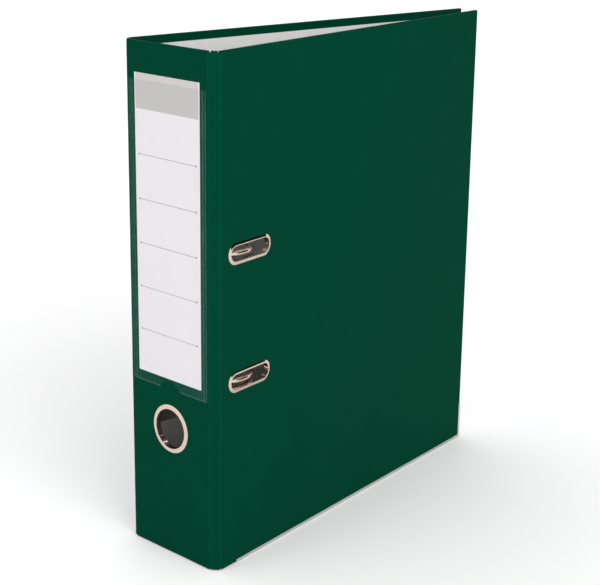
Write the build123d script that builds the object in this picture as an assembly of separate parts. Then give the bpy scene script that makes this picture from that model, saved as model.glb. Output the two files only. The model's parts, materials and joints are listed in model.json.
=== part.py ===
from build123d import *
import os
from math import cos, sin, sqrt, tan, radians

# Lever arch file, closed, standing on its lower edge.
# Row frame: +X from the rear cover to the front cover, +Y from the spine to the fore edge, +Z up.
# Panel frame: x is the depth inward from a panel's outer face, y runs along the panel, z is up.
# Mechanism pieces sit on the rear cover: u is the distance along it from its crease, and h is the
# height above its lining.

# Covers and spine
FILE_HEIGHT = 320.0
SPINE_WIDTH = 80.0
COVER_LENGTH = 280.0
COVER_LEAN = 6.5
BEVEL = 5.0
THICKNESS = 2.7
FILM = 0.3
TURN_IN = 5.0
CREASE_GAP = 0.25
CREASE_ROOM = 0.25

# Metal edge guards
GUARD_SHEET = 0.3
GUARD_FLANGE = 1.8
GUARD_START = 14.0
GUARD_RISE = 27.5

# Finger ring
RING_BORE = 25.5
RING_FLANGE = 31.0
RING_HEIGHT = 84.0
RING_WALL = 0.8
FLANGE_SHEET = 0.6
WASHER_SHEET = 0.5
FLANGE_ROUND = 0.35

# Label pocket and label
LABEL_WIDTH = 56.0
LABEL_BOTTOM = 116.5
LABEL_TOP = 301.5
LABEL_SHEET = 0.2
POCKET_BOTTOM = 110.0
POCKET_TOP = 297.5
POCKET_WELD = 30.5
POCKET_EDGE = 33.0
POCKET_SHEET = 0.15
POCKET_SEAM = 1.0
NOTCH_WIDTH = 18.0
NOTCH_DEPTH = 5.0

# Slots in the front cover
SLOT_LENGTH = 36.0
SLOT_HEIGHT = 9.4
SLOT_FLANGE = 2.0
SLOT_WALL = 0.7
SLOT_FROM_CREASE = 27.0
SLOT_CENTRE = 160.0
FIT_GAP = 0.1

# Arches and posts
HOLE_PITCH = 80.0
ARCH_DROP = 2.2
ARCH_RADIUS = 18.0
ARCH_SPRING_H = 49.0
WIRE_RADIUS = 1.8
AXLE_U = 12.0
AXLE_H = 5.5
AXLE_BEND = 4.0
CRANK_REACH = 12.0
CRANK_HALF = 5.0
CRANK_BEND = 2.6
POST_RADIUS = 2.5
POST_TOP_H = 46.0
DISH_RADIUS = 2.2
TIP_CONE = 1.0
TIP_POINT = 0.2
TIP_GAP = 0.3

# Base plate
PLATE_SHEET = 0.8
PLATE_START_U = 4.0
PLATE_END_U = 62.0
PLATE_HALF = 85.0
PLATE_CORNER = 6.0
RIVET_INSET = 8.0
RIVET_SHANK = 1.9
RIVET_HEAD = 4.2
RIVET_HEAD_SHEET = 0.7
RIVET_ROUND = 0.55
BEARING_OFFSET = 27.0
BEARING_HALF = 4.0
BEARING_WALL = 1.2
RUN_GAP = 0.08

# Lever and its bracket
PIVOT_H = 9.0
PIVOT_FROM_BAR = 8.0
PIN_RADIUS = 1.5
PIN_GAP = 0.05
PIN_HEAD = 0.8
PIN_HEAD_RADIUS = 2.4
LEVER_TIP_U = 3.6
LEVER_HALF = 9.0
LEVER_SHEET = 1.0
LEVER_CURL = 2.5
EAR_RADIUS = 4.5
EAR_CLIP = 2.0
LEVER_EAR = 4.0
BRACKET_GAP = 0.4
BRACKET_SHEET = 1.0
ROLLER_RADIUS = 2.5
ROLLER_PIN = 1.2
ROLLER_FROM_PIVOT = 11.0
SEAT_GAP = 0.3
SPRING_SHEET = 0.4
SPRING_HALF = 4.0

# Compressor bar
BAR_WIDTH = 14.0
BAR_HALF = 52.0
BAR_HEIGHT = 2.4
BAR_SHEET = 1.0
BAR_CORNER = 3.5
CLIP_LENGTH = 8.0
CLIP_HEIGHT = 2.6
CLIP_WIDTH = 9.0
CLIP_CORNER = 1.8

HALF_WIDTH = SPINE_WIDTH / 2
BOTTOM = GUARD_SHEET
TOP = FILE_HEIGHT
STRIP_WIDTH = BEVEL * sqrt(2)
BOARD_SETBACK = THICKNESS * tan(radians((45 + COVER_LEAN) / 2)) + CREASE_ROOM
MECH_Z = SLOT_CENTRE - ARCH_DROP
POST_U = AXLE_U + 2 * ARCH_RADIUS
PIVOT_U = POST_U - BAR_WIDTH / 2 - PIVOT_FROM_BAR
ARCH_ZS = (MECH_Z - HOLE_PITCH / 2, MECH_Z + HOLE_PITCH / 2)
SLOT_ZS = (SLOT_CENTRE - HOLE_PITCH / 2, SLOT_CENTRE + HOLE_PITCH / 2)
SIDES = (-1, 1)
BRACKET_INNER = LEVER_HALF + BRACKET_GAP
BRACKET_OUTER = BRACKET_INNER + BRACKET_SHEET
ROLLER_U = PIVOT_U - ROLLER_FROM_PIVOT
ROLLER_H = AXLE_H + WIRE_RADIUS + SEAT_GAP + ROLLER_RADIUS
LEVER_TOP_H = ROLLER_H + ROLLER_RADIUS + SEAT_GAP + LEVER_SHEET

# The row origin is the centre of the bounding box on the ground.
FORE_EDGE_Y = (
    BEVEL
    + (COVER_LENGTH + GUARD_SHEET) * cos(radians(COVER_LEAN))
    + GUARD_SHEET * sin(radians(COVER_LEAN))
)
CENTRE_Y = (FORE_EDGE_Y - FLANGE_SHEET) / 2


def block(x, y, z):
    """A box between a low and a high value along each axis."""
    centre = [(low + high) / 2 for low, high in (x, y, z)]
    size = [high - low for low, high in (x, y, z)]
    return Pos(*centre) * Box(*size)


def face_plane(x, y, z):
    """A plane across a panel's depth: its first axis runs along the panel, its second is up."""
    return Plane(origin=(x, y, z), x_dir=(0, 1, 0), z_dir=(1, 0, 0))


def disc(radius, x, y, z):
    """A round bar along a panel's depth, between the two depths in x."""
    return extrude(face_plane(x[0], y, z) * Circle(radius), amount=x[1] - x[0])


def racetrack(length, height, x, y, z):
    """A slot-shaped bar along a panel's depth, between the two depths in x."""
    outline = SlotOverall(length, height)
    return extrude(face_plane(x[0], y, z) * outline, amount=x[1] - x[0])


def upright(radius, u, h, z):
    """A round bar along z, beside the rear cover at (u, h)."""
    return Pos(THICKNESS + h, u, (z[0] + z[1]) / 2) * Cylinder(radius, z[1] - z[0])


def profile(points, z):
    """A solid along z with the outline through the given (u, h) points."""
    outline = Polygon(*[(THICKNESS + h, u) for u, h in points], align=None)
    return extrude(Plane.XY.offset(z[0]) * outline, amount=z[1] - z[0], dir=(0, 0, 1))


def on_rear_cover(shape):
    return Location((-HALF_WIDTH, BEVEL, 0), (0, 0, -COVER_LEAN)) * shape


def on_rear_strip(shape):
    return Location((BEVEL - HALF_WIDTH, 0, 0), (0, 0, 45)) * shape


def on_spine(shape):
    return Location((0, 0, 0), (0, 0, 90)) * shape


def on_front(shape):
    """The front cover and strip mirror the rear ones."""
    return mirror(shape, about=Plane.YZ)


def panel(start, end, fore_edge=False):
    """A panel's film, board and lining. The film wraps its top, its bottom and any fore edge."""
    board_start = start + BOARD_SETBACK
    wrap_end = end if fore_edge else end - BOARD_SETBACK
    sheet_end = end if fore_edge else end - CREASE_GAP
    board_end = wrap_end - FILM if fore_edge else wrap_end
    lining_end = wrap_end - TURN_IN if fore_edge else wrap_end
    inside = (FILM, THICKNESS - FILM)
    board = block(inside, (board_start, board_end), (BOTTOM + FILM, TOP - FILM))
    lining = block(
        (THICKNESS - FILM, THICKNESS),
        (board_start, lining_end),
        (BOTTOM + TURN_IN, TOP - TURN_IN),
    )
    film = block((0, THICKNESS), (board_start, wrap_end), (BOTTOM, TOP)) - board - lining
    film += block((0, FILM), (start + CREASE_GAP, sheet_end), (BOTTOM, TOP))
    return film, board, lining


def edge_guard():
    """A folded steel strip under a cover's lower edge and up its fore edge."""
    outer_x = (-GUARD_SHEET, THICKNESS + GUARD_SHEET)
    flange_top = BOTTOM + GUARD_FLANGE
    end = COVER_LENGTH + GUARD_SHEET
    foot = block(outer_x, (GUARD_START, end), (0, flange_top))
    riser = block(outer_x, (COVER_LENGTH - GUARD_FLANGE, end), (0, GUARD_RISE))
    cover = block((0, THICKNESS), (0, COVER_LENGTH), (BOTTOM, TOP))
    return foot + riser - cover


def finger_ring():
    """A flanged eyelet through the spine."""
    depth = THICKNESS + WASHER_SHEET
    flange = disc(RING_FLANGE / 2, (-FLANGE_SHEET, 0), 0, RING_HEIGHT)
    barrel = disc(RING_BORE / 2 + RING_WALL, (0, depth), 0, RING_HEIGHT)
    ring = flange + barrel - disc(RING_BORE / 2, (-FLANGE_SHEET, depth), 0, RING_HEIGHT)
    return round_front(ring, FLANGE_ROUND)


def round_front(solid, radius):
    """Rounds every edge of the face that lies furthest out of the panel."""
    return fillet(solid.faces().sort_by(Axis.X)[0].edges(), radius)


def ring_washer():
    """The plate behind the spine that the ring is clinched to."""
    x = (THICKNESS, THICKNESS + WASHER_SHEET)
    return disc(RING_FLANGE / 2, x, 0, RING_HEIGHT) - ring_clearance()


def ring_clearance():
    x = (-FLANGE_SHEET, THICKNESS + WASHER_SHEET)
    return disc(RING_BORE / 2 + RING_WALL + FIT_GAP, x, 0, RING_HEIGHT)


def label_pocket():
    """A clear sleeve welded to the spine, open at its top, with a thumb notch at its bottom."""
    z = (POCKET_BOTTOM, POCKET_TOP)
    sleeve_x = (-LABEL_SHEET - POCKET_SHEET, 0)
    sleeve = block(sleeve_x, (-POCKET_WELD, POCKET_WELD), z)
    inside = POCKET_WELD - POCKET_SEAM
    hollow = block((-LABEL_SHEET, 0), (-inside, inside), (POCKET_BOTTOM + POCKET_SEAM, TOP))
    edge = block((-POCKET_SHEET, 0), (-POCKET_EDGE, POCKET_EDGE), z)
    edge -= block((-POCKET_SHEET, 0), (-POCKET_WELD, POCKET_WELD), z)
    notch_radius = ((NOTCH_WIDTH / 2) ** 2 + NOTCH_DEPTH**2) / (2 * NOTCH_DEPTH)
    notch = disc(notch_radius, sleeve_x, 0, POCKET_BOTTOM + NOTCH_DEPTH - notch_radius)
    return sleeve - hollow + edge - notch


def label_insert():
    half = LABEL_WIDTH / 2
    return block((-LABEL_SHEET, 0), (-half, half), (LABEL_BOTTOM, LABEL_TOP))


def slots(length, height, x):
    """The same racetrack bar at both slots."""
    return [racetrack(length, height, x, SLOT_FROM_CREASE, z) for z in SLOT_ZS]


def slot_clearance():
    grow = 2 * (SLOT_WALL + FIT_GAP)
    return slots(SLOT_LENGTH + grow, SLOT_HEIGHT + grow, (-FLANGE_SHEET, THICKNESS + WASHER_SHEET))


def slot_eyelets():
    """Racetrack eyelets that line the two slots."""
    grow = 2 * SLOT_FLANGE
    depth = THICKNESS + WASHER_SHEET
    flanges = slots(SLOT_LENGTH + grow, SLOT_HEIGHT + grow, (-FLANGE_SHEET, 0))
    walls = slots(SLOT_LENGTH + 2 * SLOT_WALL, SLOT_HEIGHT + 2 * SLOT_WALL, (0, depth))
    holes = slots(SLOT_LENGTH, SLOT_HEIGHT, (-FLANGE_SHEET, depth))
    eyelets = [flange + wall - hole for flange, wall, hole in zip(flanges, walls, holes)]
    return Compound([round_front(eyelet, FLANGE_ROUND) for eyelet in eyelets])


def slot_backing_plates():
    """Plates inside the cover that the eyelets are clinched to."""
    grow = 2 * SLOT_FLANGE
    plates = slots(SLOT_LENGTH + grow, SLOT_HEIGHT + grow, (THICKNESS, THICKNESS + WASHER_SHEET))
    return Compound([plate - hole for plate, hole in zip(plates, slot_clearance())])


def rivet_places():
    """Each base plate rivet as (u, z)."""
    us = (PLATE_START_U + RIVET_INSET, PLATE_END_U - RIVET_INSET)
    zs = [MECH_Z + side * (PLATE_HALF - RIVET_INSET) for side in SIDES]
    return [(u, z) for u in us for z in zs]


def rivet_holes():
    x = (-RIVET_HEAD_SHEET, THICKNESS + PLATE_SHEET)
    return [disc(RIVET_SHANK + FIT_GAP, x, u, z) for u, z in rivet_places()]


def base_rivets():
    """Rivets through the rear cover and the base plate."""
    plate_top = THICKNESS + PLATE_SHEET
    rivets = []
    for u, z in rivet_places():
        outer = disc(RIVET_HEAD, (-RIVET_HEAD_SHEET, 0), u, z)
        outer = round_front(outer, RIVET_ROUND)
        shank = disc(RIVET_SHANK, (0, plate_top), u, z)
        inner = disc(RIVET_HEAD, (plate_top, plate_top + RIVET_HEAD_SHEET), u, z)
        inner = fillet(inner.edges().group_by(Axis.X)[-1], RIVET_ROUND)
        rivets.append(outer + shank + inner)
    return Compound(rivets)


def bearing(z):
    """A tab of the base plate curled round the arches' axle."""
    span = (z - BEARING_HALF, z + BEARING_HALF)
    outer = WIRE_RADIUS + BEARING_WALL
    curl = upright(outer, AXLE_U, AXLE_H, span)
    web = block(
        (THICKNESS + PLATE_SHEET, THICKNESS + AXLE_H),
        (AXLE_U - outer, AXLE_U),
        span,
    )
    return curl + web - upright(WIRE_RADIUS + RUN_GAP, AXLE_U, AXLE_H, span)


def base_plate():
    """The pressed steel plate under the mechanism, with its two curled bearings."""
    plate = block(
        (THICKNESS, THICKNESS + PLATE_SHEET),
        (PLATE_START_U, PLATE_END_U),
        (MECH_Z - PLATE_HALF, MECH_Z + PLATE_HALF),
    )
    plate = fillet(plate.edges().filter_by(Axis.X), PLATE_CORNER)
    for side in SIDES:
        plate += bearing(MECH_Z + side * BEARING_OFFSET)
    return plate - rivet_holes()


def posts():
    """Two fixed posts, dished at the top for the arches' tips."""
    made = []
    dish_depth = TIP_CONE * DISH_RADIUS / WIRE_RADIUS
    for z in ARCH_ZS:
        post = disc(POST_RADIUS, (THICKNESS + PLATE_SHEET, THICKNESS + POST_TOP_H), POST_U, z)
        dish_plane = face_plane(THICKNESS + POST_TOP_H - dish_depth / 2, POST_U, z)
        post -= dish_plane * Cone(0, DISH_RADIUS, dish_depth)
        made.append(post)
    return Compound(made)


def arch_path():
    """The centre line of the bent wire: tip, arch, leg, cranked axle, leg, arch, tip."""
    low, high = ARCH_ZS
    spring_x = THICKNESS + ARCH_SPRING_H
    tip_x = THICKNESS + POST_TOP_H + TIP_GAP
    axle_x = THICKNESS + AXLE_H
    crown_x = spring_x + ARCH_RADIUS
    middle_u = AXLE_U + ARCH_RADIUS
    crank_u = AXLE_U + CRANK_REACH
    lower = FilletPolyline(
        (spring_x, AXLE_U, low),
        (axle_x, AXLE_U, low),
        (axle_x, AXLE_U, MECH_Z - CRANK_HALF),
        (axle_x, crank_u, MECH_Z - CRANK_HALF),
        (axle_x, crank_u, MECH_Z + CRANK_HALF),
        (axle_x, AXLE_U, MECH_Z + CRANK_HALF),
        (axle_x, AXLE_U, high),
        (spring_x, AXLE_U, high),
        radius=[AXLE_BEND, CRANK_BEND, CRANK_BEND, CRANK_BEND, CRANK_BEND, AXLE_BEND],
    )
    runs = []
    for z, ends in ((low, (POST_U, AXLE_U)), (high, (AXLE_U, POST_U))):
        runs.append(
            ThreePointArc((spring_x, ends[0], z), (crown_x, middle_u, z), (spring_x, ends[1], z))
        )
    first = Line((tip_x, POST_U, low), (spring_x, POST_U, low))
    last = Line((spring_x, POST_U, high), (tip_x, POST_U, high))
    return Wire([*first.edges(), *runs[0].edges(), *lower.edges(), *runs[1].edges(), *last.edges()])


def arch_wire():
    """Both arches and their cranked axle, bent from one wire, with coned tips."""
    path = arch_path()
    section = Plane(origin=path @ 0, z_dir=path % 0) * Circle(WIRE_RADIUS)
    wire = sweep(section, path=path)
    tip_x = THICKNESS + POST_TOP_H + TIP_GAP
    for z in ARCH_ZS:
        wire += face_plane(tip_x - TIP_CONE / 2, POST_U, z) * Cone(TIP_POINT, WIRE_RADIUS, TIP_CONE)
    return wire


def ear_outline(foot_h):
    """The (u, h) outline of a bracket ear: straight sides and a clipped round top."""
    half = EAR_RADIUS
    top = PIVOT_H + EAR_RADIUS
    return [
        (PIVOT_U - half, foot_h),
        (PIVOT_U + half, foot_h),
        (PIVOT_U + half, top - EAR_CLIP),
        (PIVOT_U + half - EAR_CLIP, top),
        (PIVOT_U - half + EAR_CLIP, top),
        (PIVOT_U - half, top - EAR_CLIP),
    ]


def lever_bracket():
    """A channel on the base plate that carries the lever's pin."""
    foot = (PLATE_SHEET, PLATE_SHEET + BRACKET_SHEET)
    bracket = block(
        (THICKNESS + foot[0], THICKNESS + foot[1]),
        (PIVOT_U - EAR_RADIUS, PIVOT_U + EAR_RADIUS),
        (MECH_Z - BRACKET_OUTER, MECH_Z + BRACKET_OUTER),
    )
    for side in SIDES:
        span = sorted((MECH_Z + side * BRACKET_INNER, MECH_Z + side * BRACKET_OUTER))
        bracket += profile(ear_outline(PLATE_SHEET), span)
    return bracket - upright(PIN_RADIUS, PIVOT_U, PIVOT_H, along_z(BRACKET_OUTER))


def along_z(half):
    """A span of z, centred on the mechanism."""
    return (MECH_Z - half, MECH_Z + half)


def lever_pin():
    """The headed pin that the lever turns on."""
    pin = upright(PIN_RADIUS, PIVOT_U, PIVOT_H, along_z(BRACKET_OUTER))
    for side in SIDES:
        span = sorted((MECH_Z + side * BRACKET_OUTER, MECH_Z + side * (BRACKET_OUTER + PIN_HEAD)))
        pin += upright(PIN_HEAD_RADIUS, PIVOT_U, PIVOT_H, span)
    return pin


def leaf_spring():
    """A bent leaf under the crank, which pushes the arches open."""
    seat_h = PLATE_SHEET + BRACKET_SHEET
    tip_h = AXLE_H - WIRE_RADIUS - SEAT_GAP
    root_u = PIVOT_U + EAR_RADIUS
    bend_u = PIVOT_U - EAR_RADIUS
    tip_u = AXLE_U + CRANK_REACH - 2 * WIRE_RADIUS
    outline = [
        (root_u, seat_h),
        (bend_u, seat_h),
        (tip_u, tip_h - SPRING_SHEET),
        (tip_u, tip_h),
        (bend_u, seat_h + SPRING_SHEET),
        (root_u, seat_h + SPRING_SHEET),
    ]
    return profile(outline, along_z(SPRING_HALF))


def lever():
    """A folded steel lever: a flat top, two ears on the pin, and a curled tip."""
    under_h = LEVER_TOP_H - LEVER_SHEET
    body = block(
        (THICKNESS + under_h, THICKNESS + LEVER_TOP_H),
        (LEVER_TIP_U, PIVOT_U),
        along_z(LEVER_HALF),
    )
    curl_h = LEVER_TOP_H - LEVER_CURL
    curl = upright(LEVER_CURL, LEVER_TIP_U, curl_h, along_z(LEVER_HALF))
    inside = upright(LEVER_CURL - LEVER_SHEET, LEVER_TIP_U, curl_h, along_z(LEVER_HALF))
    mouth = block(
        (THICKNESS + curl_h - LEVER_CURL, THICKNESS + under_h),
        (LEVER_TIP_U, LEVER_TIP_U + LEVER_CURL),
        along_z(LEVER_HALF),
    )
    body += curl - inside - mouth
    for side in SIDES:
        span = sorted((MECH_Z + side * (LEVER_HALF - LEVER_SHEET), MECH_Z + side * LEVER_HALF))
        body += profile(lever_ear_outline(), span)
    body -= upright(PIN_RADIUS + PIN_GAP, PIVOT_U, PIVOT_H, along_z(LEVER_HALF))
    return body - upright(ROLLER_PIN, ROLLER_U, ROLLER_H, along_z(LEVER_HALF))


def lever_ear_outline():
    """The (u, h) outline of a lever ear, from the roller to behind the pin."""
    front_u = ROLLER_U - 2 * ROLLER_RADIUS
    return [
        (front_u, ROLLER_H - ROLLER_RADIUS + SEAT_GAP),
        (PIVOT_U, PIVOT_H - LEVER_EAR),
        (PIVOT_U + LEVER_EAR, PIVOT_H - LEVER_EAR / 2),
        (PIVOT_U + LEVER_EAR, PIVOT_H + LEVER_EAR / 2),
        (PIVOT_U + LEVER_EAR / 2, LEVER_TOP_H),
        (front_u, LEVER_TOP_H),
    ]


def lever_roller():
    """A roller between the lever's ears that bears on the crank."""
    half = LEVER_HALF - LEVER_SHEET - SEAT_GAP
    roller = upright(ROLLER_RADIUS, ROLLER_U, ROLLER_H, along_z(half))
    return roller - upright(ROLLER_PIN + PIN_GAP, ROLLER_U, ROLLER_H, along_z(half))


def roller_pin():
    return upright(ROLLER_PIN, ROLLER_U, ROLLER_H, along_z(LEVER_HALF + SEAT_GAP / 2))


def compressor_bar():
    """A shallow channel that slides on the posts and holds the sheets down."""
    low = THICKNESS + PLATE_SHEET + SEAT_GAP
    edges = (POST_U - BAR_WIDTH / 2, POST_U + BAR_WIDTH / 2)
    bar = block((low, low + BAR_HEIGHT), edges, along_z(BAR_HALF))
    bar = fillet(bar.edges().filter_by(Axis.X), BAR_CORNER)
    groove = (edges[0] + BAR_SHEET, edges[1] - BAR_SHEET)
    bar -= block((low + BAR_SHEET, low + BAR_HEIGHT), groove, along_z(BAR_HALF - BAR_CORNER))
    for z in ARCH_ZS:
        bar -= disc(POST_RADIUS + SEAT_GAP, (low, low + BAR_HEIGHT), POST_U, z)
    return bar


def compressor_clips():
    """Two spring clips in the channel that grip the posts."""
    low = THICKNESS + PLATE_SHEET + SEAT_GAP + BAR_SHEET
    made = []
    for side, z in zip(SIDES, ARCH_ZS):
        near = z - side * (POST_RADIUS + SEAT_GAP)
        span = sorted((near, near - side * CLIP_LENGTH))
        edges = (POST_U - CLIP_WIDTH / 2, POST_U + CLIP_WIDTH / 2)
        clip = block((low, low + CLIP_HEIGHT), edges, span)
        made.append(fillet(clip.edges().filter_by(Axis.X), CLIP_CORNER))
    return Compound(made)


def spine_nodes():
    film, board, lining = panel(BEVEL - HALF_WIDTH, HALF_WIDTH - BEVEL)
    hole = ring_clearance()
    pieces = {
        "spine_film": film - hole,
        "spine_board": board - hole,
        "spine_lining": lining - hole,
        "finger_ring": finger_ring(),
        "finger_ring_washer": ring_washer(),
        "label_pocket": label_pocket(),
        "label_insert": label_insert(),
    }
    return {name: on_spine(shape) for name, shape in pieces.items()}


def strip_nodes():
    film, board, lining = panel(0, STRIP_WIDTH)
    nodes = {}
    for name, shape in (("film", film), ("board", board), ("lining", lining)):
        nodes["rear_strip_" + name] = on_rear_strip(shape)
        nodes["front_strip_" + name] = on_front(on_rear_strip(shape))
    return nodes


def front_cover_nodes():
    film, board, lining = panel(0, COVER_LENGTH, fore_edge=True)
    holes = slot_clearance()
    pieces = {
        "front_film": film - holes,
        "front_board": board - holes,
        "front_lining": lining - holes,
        "front_edge_guard": edge_guard(),
        "slot_eyelets": slot_eyelets(),
        "slot_backing_plates": slot_backing_plates(),
    }
    return {name: on_front(on_rear_cover(shape)) for name, shape in pieces.items()}


def rear_cover_nodes():
    film, board, lining = panel(0, COVER_LENGTH, fore_edge=True)
    holes = rivet_holes()
    pieces = {
        "rear_film": film - holes,
        "rear_board": board - holes,
        "rear_lining": lining - holes,
        "rear_edge_guard": edge_guard(),
        "base_plate": base_plate(),
        "base_rivets": base_rivets(),
        "posts": posts(),
        "arch_wire": arch_wire(),
        "lever_bracket": lever_bracket(),
        "lever_pin": lever_pin(),
        "leaf_spring": leaf_spring(),
        "lever": lever(),
        "lever_roller": lever_roller(),
        "roller_pin": roller_pin(),
        "compressor_bar": compressor_bar(),
        "compressor_clips": compressor_clips(),
    }
    return {name: on_rear_cover(shape) for name, shape in pieces.items()}


def main():
    os.makedirs("parts", exist_ok=True)
    nodes = {**spine_nodes(), **strip_nodes(), **front_cover_nodes(), **rear_cover_nodes()}
    for name, shape in nodes.items():
        export_step(Pos(0, -CENTRE_Y, 0) * shape, f"parts/{name}.step")


main()
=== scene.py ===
import json
from math import cos, pi, radians, sin, tan

import bmesh
import bpy
from mathutils import Matrix, Vector


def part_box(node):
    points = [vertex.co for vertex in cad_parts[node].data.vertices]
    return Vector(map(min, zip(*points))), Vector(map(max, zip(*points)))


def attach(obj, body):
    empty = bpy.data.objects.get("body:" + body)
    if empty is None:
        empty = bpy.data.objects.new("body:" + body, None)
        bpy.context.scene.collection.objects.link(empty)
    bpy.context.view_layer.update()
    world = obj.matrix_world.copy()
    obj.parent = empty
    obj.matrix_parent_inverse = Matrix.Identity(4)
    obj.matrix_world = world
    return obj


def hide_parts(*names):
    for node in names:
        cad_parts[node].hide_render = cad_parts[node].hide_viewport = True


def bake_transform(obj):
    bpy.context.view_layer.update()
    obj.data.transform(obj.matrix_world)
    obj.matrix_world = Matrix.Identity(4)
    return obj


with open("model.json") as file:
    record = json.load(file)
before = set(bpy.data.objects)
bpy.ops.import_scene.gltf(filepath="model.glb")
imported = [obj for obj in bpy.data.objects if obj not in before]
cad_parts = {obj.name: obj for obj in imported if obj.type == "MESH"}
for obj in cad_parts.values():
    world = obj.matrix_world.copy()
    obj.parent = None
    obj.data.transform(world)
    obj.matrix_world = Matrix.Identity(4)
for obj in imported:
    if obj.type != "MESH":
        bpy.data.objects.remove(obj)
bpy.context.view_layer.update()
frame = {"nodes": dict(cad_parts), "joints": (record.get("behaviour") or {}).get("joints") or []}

# Sizes in metres, from the same drawing as the frame, then the steps that round its shapes.
MM = 0.001
LEAN = radians(6.5)
STRIP_ANGLE = radians(45)
THICK = 2.7 * MM
CUTTER_REACH = 4 * THICK
HINGE_THICK = 0.6 * MM
SETBACK = 1.55 * MM
CREASE_RADIUS = 2.0 * MM
CREASE_DIP = 0.7 * MM
EDGE_STRESS = 0.4
EDGE_RADIUS = 0.8 * MM
LINING_INSET = 5.0 * MM
LINING_SHEET = 0.12 * MM
SEAM_X = 33.0 * MM
FIT_GAP = 0.1 * MM
SLOT_LENGTH = 36.0 * MM
SLOT_HEIGHT = 9.4 * MM
SLOT_FLANGE = 2.0 * MM
SLOT_FROM_CREASE = 27.0 * MM
SLOT_HEIGHTS = (120.0 * MM, 200.0 * MM)
SLOT_WALL = 0.7 * MM
RING_BORE = 25.5 * MM
RING_FLANGE = 2.75 * MM
RING_WALL = 0.8 * MM
RING_HEIGHT = 84.0 * MM
RIM_RISE = 0.6 * MM
RIM_CREST = 0.25 * MM
RIM_BULGE = 1.4
WASHER_SHEET = 0.5 * MM
POCKET_LOW = 110.0 * MM
POCKET_HIGH = 297.5 * MM
POCKET_WELD = 30.5 * MM
POCKET_EDGE = 33.0 * MM
POCKET_SHEET = 0.15 * MM
POCKET_AIR = 0.03 * MM
LABEL_SHEET = 0.2 * MM
POCKET_RAMP = 0.2 * MM
WELD_LINE = 0.3 * MM
EDGE_LINE = 0.45 * MM
BOTTOM_LINE = 0.6 * MM
NOTCH_RADIUS = 10.6 * MM
NOTCH_DEPTH = 5.0 * MM
LABEL_HEADER = 21.3 * MM
LABEL_FIELDS = 6
LABEL_BORDER = 0.7 * MM
RULE_MARGIN = 3.3 * MM
RULE_HALF = 0.18 * MM
DOT_RADIUS = 0.7 * MM
CREASE_STEPS = 12
CORNER_STEPS = 5
ROLL_STEPS = 10
SLOT_STEPS = 24
RING_STEPS = 48
CUTTER_STEPS = 32
PANEL_SMOOTH = 35
RIM_SMOOTH = 50

JOINTS = {joint["name"]: joint for joint in frame["joints"]}
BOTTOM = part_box("front_film")[0].z
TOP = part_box("front_film")[1].z
COVER_CREASE = Vector(JOINTS["rear_cover_fold"]["pos_m"][:2])
SPINE_CREASE = Vector(JOINTS["rear_spine_fold"]["pos_m"][:2])
COVER_LENGTH = (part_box("rear_film")[1].y - COVER_CREASE.y) / cos(LEAN)
STRIP_HALF = (COVER_CREASE - SPINE_CREASE).length / 2


def heading(angle):
    """The unit vector at an angle from +X, in plan."""
    return Vector((cos(angle), sin(angle)))


def left(angle):
    """The unit vector to the left of a heading."""
    return heading(angle + pi / 2)


COVER_HEADING = pi / 2 - LEAN
STRIP_HEADING = pi - STRIP_ANGLE
COVER_ALONG = Vector((-sin(LEAN), cos(LEAN), 0))
COVER_OUT = Vector((cos(LEAN), sin(LEAN), 0))
SPINE_ALONG = Vector((1, 0, 0))
SPINE_OUT = Vector((0, -1, 0))
RING_SPOT = Vector((0, SPINE_CREASE.y, RING_HEIGHT))


# ---------------------------------------------------------------- mesh helpers


def new_object(name, mesh):
    piece = bpy.data.objects.new(name, mesh)
    bpy.context.scene.collection.objects.link(piece)
    return piece


def rounded_loop(thick, inset, low, high, radius):
    """(depth, height) points round a panel's section, with rounded corners."""
    radius = min(radius, (thick - 2 * inset) * 0.45)
    corners = (
        (inset + radius, low + radius, pi),
        (thick - inset - radius, low + radius, 1.5 * pi),
        (thick - inset - radius, high - radius, 0),
        (inset + radius, high - radius, 0.5 * pi),
    )
    points = []
    for depth, height, start in corners:
        for step in range(CORNER_STEPS):
            angle = start + 0.5 * pi * step / (CORNER_STEPS - 1)
            points.append((depth + radius * cos(angle), height + radius * sin(angle)))
    return points


def station(point, direction, thick, inset=0.0, dip=0.0, crease=0.0):
    """One section of a panel: its outer point, its heading, and how thick it is there."""
    return {"at": point, "dir": direction, "thick": thick, "inset": inset, "dip": dip, "crease": crease}


def panel_mesh(name, stations, turn, low=BOTTOM, high=TOP, lift=0.0, radius=EDGE_RADIUS, mirrored=False):
    """A closed slab through the stations. Its inside lies to the left with turn +1, to the right with -1."""
    mesh = bpy.data.meshes.new(name)
    sheet = bmesh.new()
    crease = sheet.verts.layers.float.new("crease")
    loops = []
    for item in stations:
        inward = Vector((-item["dir"].y, item["dir"].x)) * turn
        loop = []
        edge_low = low + item["inset"] + item["dip"]
        edge_high = high - item["inset"] - item["dip"]
        for depth, height in rounded_loop(item["thick"], item["inset"], edge_low, edge_high, radius):
            spot = item["at"] + inward * (depth + lift)
            vert = sheet.verts.new((-spot.x if mirrored else spot.x, spot.y, height))
            vert[crease] = item["crease"]
            loop.append(vert)
        loops.append(loop)
    count = len(loops[0])
    for first, second in zip(loops, loops[1:]):
        for i in range(count):
            j = (i + 1) % count
            sheet.faces.new((first[i], first[j], second[j], second[i]))
    sheet.faces.new(loops[0])
    sheet.faces.new(list(reversed(loops[-1])))
    bmesh.ops.recalc_face_normals(sheet, faces=sheet.faces)
    sheet.to_mesh(mesh)
    sheet.free()
    return mesh


def smooth(piece, angle=PANEL_SMOOTH):
    """Smooth shading, with edges over angle degrees kept sharp and flat faces kept flat."""
    piece.data.shade_smooth()
    piece.data.set_sharp_from_angle(angle=radians(angle))
    weighted = piece.modifiers.new("flat_faces", "WEIGHTED_NORMAL")
    weighted.keep_sharp = True
    return piece


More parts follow.
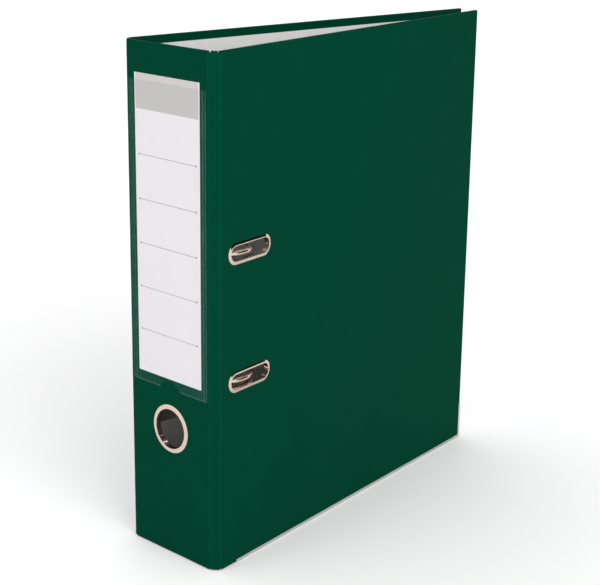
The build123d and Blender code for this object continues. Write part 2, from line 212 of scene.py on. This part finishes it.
def cut(piece, cutters):
    """Cuts the closed cutter meshes out of a piece, for good."""
    for cutter in cutters:
        boolean = piece.modifiers.new("cut", "BOOLEAN")
        boolean.operation = "DIFFERENCE"
        boolean.solver = "EXACT"
        boolean.object = cutter
    graph = bpy.context.evaluated_depsgraph_get()
    graph.update()
    mesh = bpy.data.meshes.new_from_object(piece.evaluated_get(graph))
    piece.modifiers.clear()
    piece.data = mesh
    for cutter in cutters:
        bpy.data.objects.remove(cutter)
    return piece


def prism(outline, origin, along, outward, depth):
    """A closed prism: the (across, up) outline at origin, pushed depth both ways along outward."""
    sheet = bmesh.new()
    rings = []
    for way in (-1, 1):
        ring = []
        for across, up in outline:
            spot = Vector(origin) + Vector(along) * across + Vector((0, 0, up))
            ring.append(sheet.verts.new(spot + Vector(outward) * way * depth))
        rings.append(ring)
    count = len(outline)
    for i in range(count):
        j = (i + 1) % count
        sheet.faces.new((rings[0][i], rings[0][j], rings[1][j], rings[1][i]))
    sheet.faces.new(rings[0])
    sheet.faces.new(list(reversed(rings[1])))
    bmesh.ops.recalc_face_normals(sheet, faces=sheet.faces)
    mesh = bpy.data.meshes.new("cutter")
    sheet.to_mesh(mesh)
    sheet.free()
    return new_object("cutter", mesh)


def racetrack(length, height, steps=16):
    """An (across, up) outline with round ends, or a circle when length equals height."""
    radius = height / 2
    straight = length / 2 - radius
    last = steps if length > height else steps - 1
    points = []
    for side in (1, -1):
        for step in range(last + 1):
            angle = -pi / 2 + pi * step / steps
            points.append((side * (straight + radius * cos(angle)), side * radius * sin(angle)))
    return points


# ---------------------------------------------------------------- materials


def shader(name):
    """A new material, with its node tree and its principled shader."""
    material = bpy.data.materials.new(name)
    material.use_nodes = True
    tree = material.node_tree
    return material, tree, tree.nodes["Principled BSDF"]


def node(tree, kind, inputs=None, **settings):
    made = tree.nodes.new(kind)
    for key, value in settings.items():
        setattr(made, key, value)
    for key, value in (inputs or {}).items():
        if isinstance(value, bpy.types.NodeSocket):
            tree.links.new(value, made.inputs[key])
        else:
            made.inputs[key].default_value = value
    return made


def place(tree):
    """The rest position in metres, which every pattern is laid out in."""
    return node(tree, "ShaderNodeTexCoord").outputs["Object"]


def noise(tree, scale, detail=4.0, vector=None):
    source = vector or place(tree)
    return node(tree, "ShaderNodeTexNoise", {"Vector": source, "Scale": scale, "Detail": detail}).outputs[0]


def spread(tree, value, low, high):
    """Maps a 0 to 1 pattern onto low to high."""
    return node(tree, "ShaderNodeMapRange", {0: value, 3: low, 4: high}).outputs[0]


def maths(tree, operation, first, second=0.0):
    return node(tree, "ShaderNodeMath", {0: first, 1: second}, operation=operation).outputs[0]


def mix(tree, factor, first, second):
    made = node(tree, "ShaderNodeMix", {0: factor, 6: first, 7: second}, data_type="RGBA")
    return made.outputs[2]


def bump(tree, body, height, strength, distance):
    made = node(tree, "ShaderNodeBump", {"Height": height, "Strength": strength, "Distance": distance})
    tree.links.new(made.outputs[0], body.inputs["Normal"])


def film_material():
    """Satin green film: fine grain, faint mottling, and paler stress along the creases."""
    material, tree, body = shader("green_film")
    mottle = noise(tree, 55.0, 5.0)
    base = mix(tree, mottle, (0.0, 0.0405, 0.0205, 1), (0.0, 0.0465, 0.0240, 1))
    fold = node(tree, "ShaderNodeAttribute", attribute_name="crease").outputs["Fac"]
    worn = maths(tree, "MULTIPLY", fold, 0.30)
    tree.links.new(mix(tree, worn, base, (0.002, 0.068, 0.042, 1)), body.inputs["Base Color"])
    grain = noise(tree, 2600.0, 2.0)
    tree.links.new(spread(tree, noise(tree, 420.0), 0.44, 0.58), body.inputs["Roughness"])
    body.inputs["Specular IOR Level"].default_value = 0.006
    bump(tree, body, grain, 0.22, 0.00012)
    return material


def paper_material(name, color, fibre=0.05):
    """Uncoated white paper with fine fibres."""
    material, tree, body = shader(name)
    fibres = noise(tree, 900.0, 6.0)
    dark = (*[part * (1 - fibre) for part in color], 1)
    tree.links.new(mix(tree, fibres, dark, (*color, 1)), body.inputs["Base Color"])
    tree.links.new(spread(tree, fibres, 0.78, 0.92), body.inputs["Roughness"])
    body.inputs["Specular IOR Level"].default_value = 0.2
    bump(tree, body, noise(tree, 3000.0, 3.0), 0.25, 0.00006)
    return material


def metal_material(name, color, rough, grain_scale=(1, 1, 1), grain=0.04, wear=0.03):
    """Plated or brushed steel, with drawn grain along one axis and a little handling haze."""
    material, tree, body = shader(name)
    stretched = node(tree, "ShaderNodeMapping", {"Vector": place(tree), "Scale": grain_scale}).outputs[0]
    drawn = noise(tree, 700.0, 3.0, stretched)
    haze = noise(tree, 90.0, 3.0)
    dull = (*[part * (1 - wear * 3) for part in color], 1)
    tree.links.new(mix(tree, haze, (*color, 1), dull), body.inputs["Base Color"])
    body.inputs["Metallic"].default_value = 1.0
    blurred = maths(tree, "MULTIPLY", haze, wear)
    streaked = maths(tree, "MULTIPLY", drawn, grain)
    total = maths(tree, "ADD", maths(tree, "ADD", blurred, streaked), rough)
    tree.links.new(total, body.inputs["Roughness"])
    bump(tree, body, drawn, 0.05, 0.00002)
    return material


def clear_material():
    """Thin clear film: mostly see-through, with gloss and a faint cast. Lines at the welds, the side edges
    and the bottom edge show more of its paler colour: a painted highlight, which at the welds is also the
    seams' own milkiness.
    """
    material, tree, body = shader("clear_film")
    scuff = noise(tree, 160.0, 5.0)
    tree.links.new(mix(tree, scuff, (0.05, 0.20, 0.15, 1), (0.10, 0.26, 0.20, 1)), body.inputs["Base Color"])
    tree.links.new(spread(tree, scuff, 0.10, 0.2), body.inputs["Roughness"])
    split = node(tree, "ShaderNodeSeparateXYZ", {0: place(tree)})
    side = maths(tree, "ABSOLUTE", split.outputs[0])
    # Painted highlight: thin lines at the welds, the side edges and the bottom edge; at the welds it is also
    # the seams' own milkiness.
    from_weld = maths(tree, "ABSOLUTE", maths(tree, "SUBTRACT", side, POCKET_WELD))
    lines = maths(tree, "LESS_THAN", from_weld, WELD_LINE)
    edge_highlight = maths(tree, "GREATER_THAN", side, POCKET_EDGE - EDGE_LINE)
    bottom_highlight = maths(tree, "LESS_THAN", split.outputs[2], POCKET_LOW + BOTTOM_LINE)
    lines = maths(tree, "MAXIMUM", maths(tree, "MAXIMUM", lines, edge_highlight), bottom_highlight)
    alpha = maths(tree, "ADD", spread(tree, scuff, 0.03, 0.05), maths(tree, "MULTIPLY", lines, 0.22))
    tree.links.new(alpha, body.inputs["Alpha"])
    body.inputs["Specular IOR Level"].default_value = 0.4
    return material


def label_material():
    """Printed card: a grey header band, five ruled lines and a dot at each line's ends."""
    material, tree, body = shader("label_print")
    low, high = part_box("label_insert")
    field = (high.z - low.z - LABEL_HEADER) / LABEL_FIELDS
    half_width = (high.x - low.x) / 2
    split = node(tree, "ShaderNodeSeparateXYZ", {0: place(tree)})
    across, up = split.outputs[0], split.outputs[2]
    down = maths(tree, "SUBTRACT", high.z - LABEL_HEADER, up)
    nearest = maths(tree, "ROUND", maths(tree, "DIVIDE", down, field))
    off_line = maths(tree, "ABSOLUTE", maths(tree, "SUBTRACT", down, maths(tree, "MULTIPLY", nearest, field)))
    side = maths(tree, "ABSOLUTE", across)
    line_end = half_width - RULE_MARGIN
    ruled = maths(tree, "LESS_THAN", off_line, RULE_HALF)
    ruled = maths(tree, "MULTIPLY", ruled, maths(tree, "LESS_THAN", side, line_end))
    from_end = maths(tree, "SUBTRACT", side, line_end)
    squares = maths(tree, "ADD", maths(tree, "POWER", from_end, 2.0), maths(tree, "POWER", off_line, 2.0))
    dots = maths(tree, "LESS_THAN", squares, DOT_RADIUS**2)
    ink = maths(tree, "MAXIMUM", ruled, dots)
    inside = maths(tree, "GREATER_THAN", nearest, 0.5)
    inside = maths(tree, "MULTIPLY", inside, maths(tree, "LESS_THAN", nearest, LABEL_FIELDS - 0.5))
    ink = maths(tree, "MULTIPLY", ink, inside)
    fibres = noise(tree, 900.0, 6.0)
    card = mix(tree, fibres, (0.76, 0.71, 0.755, 1), (0.80, 0.75, 0.795, 1))
    band = mix(tree, fibres, (0.49, 0.465, 0.455, 1), (0.53, 0.505, 0.495, 1))
    in_band = maths(tree, "LESS_THAN", down, 0.0)
    in_border = maths(tree, "LESS_THAN", side, half_width - LABEL_BORDER)
    in_band = maths(tree, "MULTIPLY", in_band, in_border)
    printed = mix(tree, in_band, card, band)
    printed = mix(tree, maths(tree, "MULTIPLY", ink, 0.8), printed, (0.20, 0.20, 0.22, 1))
    tree.links.new(printed, body.inputs["Base Color"])
    tree.links.new(spread(tree, fibres, 0.5, 0.65), body.inputs["Roughness"])
    body.inputs["Specular IOR Level"].default_value = 0.25
    bump(tree, body, noise(tree, 2500.0, 2.0), 0.15, 0.00005)
    return material


FILM = film_material()
# The lining's grey is partly the paper's own off-white and partly painted shade, which darkens the file's
# inside seen through the slots and the finger ring.
LINING = paper_material("lining_paper", (0.72, 0.72, 0.71))
LABEL = label_material()
CLEAR = clear_material()
NICKEL = metal_material("nickel_plate", (0.68, 0.56, 0.47), 0.06)
EDGE_STEEL = metal_material("edge_steel", (0.62, 0.62, 0.60), 0.22, (1, 1, 12), 0.12)
PLATE_STEEL = metal_material("plated_sheet", (0.72, 0.72, 0.71), 0.16, (12, 12, 1), 0.10)
SPRING_STEEL = metal_material("spring_steel", (0.36, 0.36, 0.38), 0.25, (1, 12, 1), 0.10)

CAD_MATERIALS = {
    "label_insert": LABEL,
    "front_edge_guard": EDGE_STEEL,
    "rear_edge_guard": EDGE_STEEL,
    "arch_wire": NICKEL,
    "posts": NICKEL,
    "base_rivets": NICKEL,
    "lever_pin": NICKEL,
    "lever_roller": NICKEL,
    "roller_pin": NICKEL,
    "finger_ring_washer": PLATE_STEEL,
    "slot_backing_plates": PLATE_STEEL,
    "base_plate": PLATE_STEEL,
    "lever": PLATE_STEEL,
    "lever_bracket": PLATE_STEEL,
    "compressor_bar": PLATE_STEEL,
    "compressor_clips": SPRING_STEEL,
    "leaf_spring": SPRING_STEEL,
}


def dress_cad_nodes():
    for name, material in CAD_MATERIALS.items():
        mesh = frame["nodes"][name].data
        mesh.materials.clear()
        mesh.materials.append(material)


# ---------------------------------------------------------------- covers and spine


def corner(point, start, end, turn):
    """Stations round a crease at point, from one heading to the other, with the panels' square ends."""
    sweep = (end - start + pi) % (2 * pi) - pi
    tangent = CREASE_RADIUS * tan(abs(sweep) / 2)
    centre = point - heading(start) * tangent + left(start) * turn * CREASE_RADIUS
    first, last = point - heading(start) * SETBACK, point + heading(end) * SETBACK
    made = [
        station(first, heading(start), THICK),
        station(first, heading(start), HINGE_THICK, dip=CREASE_DIP, crease=EDGE_STRESS),
    ]
    for step in range(CREASE_STEPS + 1):
        share = step / CREASE_STEPS
        angle = start + sweep * share
        spot = centre - left(angle) * turn * CREASE_RADIUS
        made.append(station(spot, heading(angle), HINGE_THICK, dip=CREASE_DIP, crease=sin(pi * share)))
    made.append(station(last, heading(end), HINGE_THICK, dip=CREASE_DIP, crease=EDGE_STRESS))
    made.append(station(last, heading(end), THICK))
    return made


def fore_edge_stations(point, direction):
    """Stations that round off a panel's free end, which stops at point."""
    made = []
    for step in range(CORNER_STEPS):
        angle = 0.5 * pi * step / (CORNER_STEPS - 1)
        back = EDGE_RADIUS * (1 - sin(angle))
        inset = EDGE_RADIUS * (1 - cos(angle))
        made.append(station(point - direction * back, direction, THICK, inset=inset))
    return made


def cover_skin(name, mirrored, nodes, cutters=()):
    """Half a strip, its crease and a whole cover, in one film."""
    strip_dir = heading(STRIP_HEADING)
    cover_dir = heading(COVER_HEADING)
    start = COVER_CREASE - strip_dir * STRIP_HALF
    stations = [station(start, strip_dir, THICK)]
    stations += corner(COVER_CREASE, STRIP_HEADING, COVER_HEADING, -1)
    stations += fore_edge_stations(COVER_CREASE + cover_dir * COVER_LENGTH, cover_dir)
    piece = new_object(name, panel_mesh(name, stations, -1, mirrored=mirrored))
    if cutters:
        cut(piece, cutters)
    finish_skin(piece)
    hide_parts(*nodes)


def spine_skin(name, mirrored, end_x, nodes, cutters=()):
    """Half a strip, its crease and the spine as far as end_x, in one film."""
    strip_dir = heading(STRIP_HEADING + pi)
    start = SPINE_CREASE - strip_dir * STRIP_HALF
    stations = [station(start, strip_dir, THICK)]
    stations += corner(SPINE_CREASE, STRIP_HEADING + pi, 2 * pi, 1)
    stations.append(station(Vector((end_x, SPINE_CREASE.y)), heading(0), THICK))
    piece = new_object(name, panel_mesh(name, stations, 1, mirrored=mirrored))
    if cutters:
        cut(piece, cutters)
    finish_skin(piece)
    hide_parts(*nodes)


def finish_skin(piece):
    """Smooths and paints a skin, and bakes its place into its mesh. Its crease lies between the boards' inner
    edges.
    """
    smooth(piece)
    piece.data.materials.clear()
    piece.data.materials.append(FILM)
    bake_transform(piece)


def lining(name, body, point, angle, length, turn, mirrored, node_name, cutters=(), end_inset=SETBACK):
    """A sheet of lining paper on the inside of one panel."""
    direction = heading(angle)
    first = point + direction * SETBACK
    last = point + direction * (length - end_inset)
    stations = [station(first, direction, LINING_SHEET), station(last, direction, LINING_SHEET)]
    mesh = panel_mesh(
        name,
        stations,
        turn,
        BOTTOM + LINING_INSET,
        TOP - LINING_INSET,
        lift=THICK,
        radius=LINING_SHEET,
        mirrored=mirrored,
    )
    piece = new_object(name, mesh)
    if cutters:
        cut(piece, cutters)
    piece.data.materials.clear()
    piece.data.materials.append(LINING)
    smooth(piece)
    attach(piece, body)
    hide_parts(node_name)


def slot_cutters():
    """Prisms just outside the eyelets' walls, through the front cover."""
    grow = 2 * (SLOT_WALL + FIT_GAP)
    outline = racetrack(SLOT_LENGTH + grow, SLOT_HEIGHT + grow)
    return [prism(outline, spot, COVER_ALONG, COVER_OUT, CUTTER_REACH) for spot in slot_spots()]


def ring_cutters():
    """A prism just outside the finger ring's wall, through the spine."""
    across = RING_BORE + 2 * (RING_WALL + FIT_GAP)
    outline = racetrack(across, across, CUTTER_STEPS)
    return [prism(outline, RING_SPOT, SPINE_ALONG, SPINE_OUT, CUTTER_REACH)]


def slot_spots():
    """The centre of each slot, on the front cover's outer face."""
    return [
        Vector((-COVER_CREASE.x, COVER_CREASE.y, up)) + COVER_ALONG * SLOT_FROM_CREASE
        for up in SLOT_HEIGHTS
    ]


def rim_section(flange, wall):
    """(out from the bore, height over the face) points of a rolled eyelet, closed: a crest, then a slope."""
    depth = -(THICK + WASHER_SHEET)
    points = [(wall, depth), (0, depth)]
    for step in range(ROLL_STEPS):
        angle = 0.5 * pi * step / ROLL_STEPS
        points.append((RIM_CREST * (1 - cos(angle)), RIM_RISE - RIM_CREST * (1 - sin(angle))))
    for step in range(ROLL_STEPS + 1):
        share = step / ROLL_STEPS
        points.append((RIM_CREST + (flange - RIM_CREST) * share, RIM_RISE * (1 - share**RIM_BULGE)))
    points.append((wall, 0))
    return points


def rims(name, length, height, spots, along, outward, section, steps, body, node_name):
    """Rolled eyelets round racetrack openings, one at each spot."""
    sheet = bmesh.new()
    for spot in spots:
        rings = []
        for out, rise in section:
            outline = racetrack(length + 2 * out, height + 2 * out, steps)
            rings.append([
                sheet.verts.new(spot + along * across + Vector((0, 0, up)) + outward * rise)
                for across, up in outline
            ])
        for first, second in zip(rings, rings[1:] + rings[:1]):
            for i in range(len(first)):
                j = (i + 1) % len(first)
                sheet.faces.new((first[i], first[j], second[j], second[i]))
    bmesh.ops.recalc_face_normals(sheet, faces=sheet.faces)
    mesh = bpy.data.meshes.new(name)
    sheet.to_mesh(mesh)
    sheet.free()
    mesh.materials.append(NICKEL)
    piece = smooth(new_object(name, mesh), RIM_SMOOTH)
    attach(piece, body)
    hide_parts(node_name)


def build_rims():
    rims("finger_ring_rim", RING_BORE, RING_BORE, [RING_SPOT], SPINE_ALONG, SPINE_OUT,
         rim_section(RING_FLANGE, RING_WALL), RING_STEPS, "spine", "finger_ring")
    rims("slot_rims", SLOT_LENGTH, SLOT_HEIGHT, slot_spots(), COVER_ALONG, COVER_OUT,
         rim_section(SLOT_FLANGE, SLOT_WALL), SLOT_STEPS, "front_cover", "slot_eyelets")


def build_pocket():
    """The clear pocket: a sheet over the label card, welded down on both sides, with a thumb notch."""
    face = SPINE_CREASE.y
    lift = LABEL_SHEET + POCKET_SHEET
    half = (
        (POCKET_EDGE, POCKET_AIR),
        (POCKET_EDGE, POCKET_SHEET),
        (POCKET_WELD + POCKET_RAMP, POCKET_SHEET),
        (POCKET_WELD, lift),
    )
    inner = (
        (POCKET_WELD - 2 * POCKET_RAMP, POCKET_AIR),
        (POCKET_WELD - POCKET_RAMP, LABEL_SHEET + POCKET_AIR),
    )
    outline = [*half, *[(-across, rise) for across, rise in reversed(half)]]
    outline += [(-across, rise) for across, rise in inner] + list(reversed(inner))
    sheet = bmesh.new()
    rings = [
        [sheet.verts.new((across, face - rise, up)) for across, rise in outline]
        for up in (POCKET_LOW, POCKET_HIGH)
    ]
    for i in range(len(outline)):
        j = (i + 1) % len(outline)
        sheet.faces.new((rings[0][i], rings[0][j], rings[1][j], rings[1][i]))
    sheet.faces.new(rings[0])
    sheet.faces.new(list(reversed(rings[1])))
    bmesh.ops.recalc_face_normals(sheet, faces=sheet.faces)
    mesh = bpy.data.meshes.new("pocket_film")
    sheet.to_mesh(mesh)
    sheet.free()
    piece = new_object("pocket_film", mesh)
    notch_spot = (0, face, POCKET_LOW + NOTCH_DEPTH - NOTCH_RADIUS)
    circle = racetrack(2 * NOTCH_RADIUS, 2 * NOTCH_RADIUS, CUTTER_STEPS)
    cut(piece, [prism(circle, notch_spot, SPINE_ALONG, SPINE_OUT, THICK)])
    piece.data.materials.clear()
    piece.data.materials.append(CLEAR)
    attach(piece, "spine")
    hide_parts("label_pocket")


def build_covers():
    front_nodes = ("front_film", "front_board")
    cover_skin("front_skin", True, front_nodes, slot_cutters())
    cover_skin("rear_skin", False, ("rear_film", "rear_board"))
    spine_skin(
        "spine_skin",
        False,
        SEAM_X,
        ("spine_film", "spine_board", "rear_strip_film", "rear_strip_board"),
        ring_cutters(),
    )
    spine_skin("spine_front_skin", True, -SEAM_X, ("front_strip_film", "front_strip_board"))


def build_linings():
    strip = 2 * STRIP_HALF
    covers = (("rear", False, ()), ("front", True, slot_cutters()))
    for side, mirrored, cutters in covers:
        lining(side + "_lining_sheet", side + "_cover", COVER_CREASE, COVER_HEADING, COVER_LENGTH, -1,
               mirrored, side + "_lining", cutters, LINING_INSET)
        lining(side + "_strip_lining_sheet", side + "_strip", SPINE_CREASE, STRIP_HEADING, strip, -1,
               mirrored, side + "_strip_lining")
    lining("spine_lining_sheet", "spine", SPINE_CREASE, 0, -2 * SPINE_CREASE.x, 1, False, "spine_lining",
           ring_cutters())


# ---------------------------------------------------------------- studio


def area_light(name, at, target, size, power):
    """A soft light that reflections don't show."""
    data = bpy.data.lights.new(name, "AREA")
    data.shape = "RECTANGLE"
    data.size, data.size_y = size
    data.energy = power
    light = bpy.data.objects.new(name, data)
    bpy.context.scene.collection.objects.link(light)
    light.location = at
    light.rotation_euler = (Vector(target) - Vector(at)).to_track_quat("-Z", "Y").to_euler()
    light.visible_glossy = False


def card(name, at, target, size, color):
    """A flat studio card that faces target."""
    mesh = bpy.data.meshes.new(name)
    half = (size[0] / 2, size[1] / 2)
    corners = [(-half[0], -half[1], 0), (half[0], -half[1], 0), (half[0], half[1], 0), (-half[0], half[1], 0)]
    mesh.from_pydata(corners, [], [(0, 1, 2, 3)])
    piece = new_object(name, mesh)
    piece.location = at
    piece.rotation_euler = (Vector(target) - Vector(at)).to_track_quat("Z", "Y").to_euler()
    material, tree, body = shader(name)
    body.inputs["Base Color"].default_value = (*color, 1)
    body.inputs["Roughness"].default_value = 0.9
    body.inputs["Specular IOR Level"].default_value = 0.0
    mesh.materials.append(material)
    return piece


# Each light: name, place, what it points at, size in metres, watts.
LIGHTS = (
    ("key", (1.6, -0.5, 1.2), (0, 0, 0.15), (1.4, 1.4), 15),
    ("fill", (-0.6, -1.8, 0.9), (0, -0.14, 0.16), (1.2, 1.2), 2),
)
# Each dark card, which reflections show and the camera does not: name, place, size in metres.
FLAGS = (
    ("flag_behind", (1.4, 1.3, 1.0), (2.0, 1.5)),
    ("flag_left", (-1.4, -1.7, 0.9), (1.3, 1.1)),
    ("flag_over", (0, 0.1, 1.05), (0.6, 0.6)),
)
FLAG_TARGET = (0, 0, 0.2)
FLAG_COLOR = (0.01, 0.01, 0.01)
FLOOR_SIZE = (14, 14)
FLOOR_COLOR = (0.93, 0.93, 0.93)
SKY_STRENGTH = 1.22


def build_studio():
    card("floor", (0, 0, 0), (0, 0, 1), FLOOR_SIZE, FLOOR_COLOR)
    for name, at, size in FLAGS:
        card(name, at, FLAG_TARGET, size, FLAG_COLOR).visible_camera = False
    world = bpy.data.worlds.new("studio")
    bpy.context.scene.world = world
    world.use_nodes = True
    background = world.node_tree.nodes["Background"]
    background.inputs[0].default_value = (1, 1, 1, 1)
    background.inputs[1].default_value = SKY_STRENGTH
    for light in LIGHTS:
        area_light(*light)
    bpy.context.scene.view_settings.view_transform = "Standard"


# The camera: turn, tilt and roll in radians, lens in mm, and its place, with y from the spine's face.
AZIMUTH = 0.7553
ELEVATION = 0.2940
ROLL = 0.0135
LENS = 91.5
CAMERA_X = 0.6575
CAMERA_BEFORE_SPINE = 0.5836
CAMERA_Z = 0.4381
NEAR_CLIP = 0.05


def build_camera():
    """A long lens that looks a little down at the spine and the front cover."""
    azimuth, elevation, roll = AZIMUTH, ELEVATION, ROLL
    forward = Vector((-sin(azimuth) * cos(elevation), cos(azimuth) * cos(elevation), -sin(elevation)))
    level = forward.cross(Vector((0, 0, 1))).normalized()
    upright = level.cross(forward)
    right = level * cos(roll) + upright * sin(roll)
    above = upright * cos(roll) - level * sin(roll)
    data = bpy.data.cameras.new("camera")
    data.lens = LENS
    data.clip_start = NEAR_CLIP
    camera = bpy.data.objects.new("camera", data)
    bpy.context.scene.collection.objects.link(camera)
    turned = Matrix((right, above, -forward)).transposed().to_4x4()
    place_at = Matrix.Translation((CAMERA_X, SPINE_CREASE.y - CAMERA_BEFORE_SPINE, CAMERA_Z))
    camera.matrix_world = place_at @ turned
    bpy.context.scene.camera = camera


build_camera()
dress_cad_nodes()
build_covers()
build_linings()
build_rims()
build_pocket()
build_studio()
